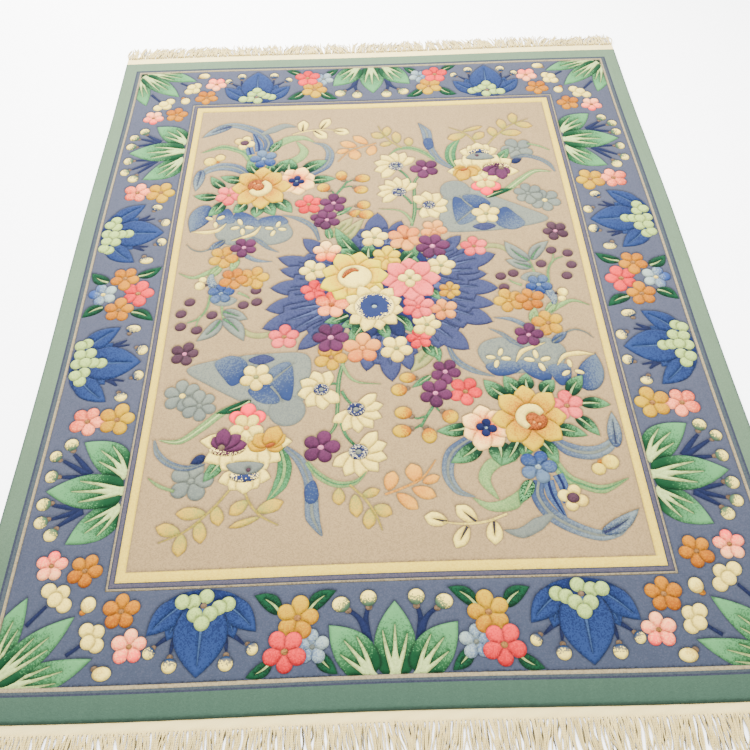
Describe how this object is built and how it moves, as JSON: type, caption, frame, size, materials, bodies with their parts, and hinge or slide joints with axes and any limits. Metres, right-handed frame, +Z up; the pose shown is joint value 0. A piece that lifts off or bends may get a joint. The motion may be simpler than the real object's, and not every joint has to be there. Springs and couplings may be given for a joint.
{
  "type": "carved floral pile rug",
  "caption": "Rectangular hand-knotted wool pile rug with carved flowers, a flower medallion, a flower border and fringed ends, lying flat.",
  "frame": {"origin": "middle of the rug on the floor it lies on", "axes": "+Z up out of the pile, +Y along the rug's length to the far fringe, +X to the right"},
  "size_m": [2.446, 3.3676, 0.0153],
  "materials": {
    "pile": "matt cut wool pile, carved round the pattern",
    "fringe": "matt twisted cotton warp"
  },
  "bodies": {
    "root": {"carved_pile": "pile", "fringe_far": "fringe", "fringe_near": "fringe"}
  },
  "joints": []
}
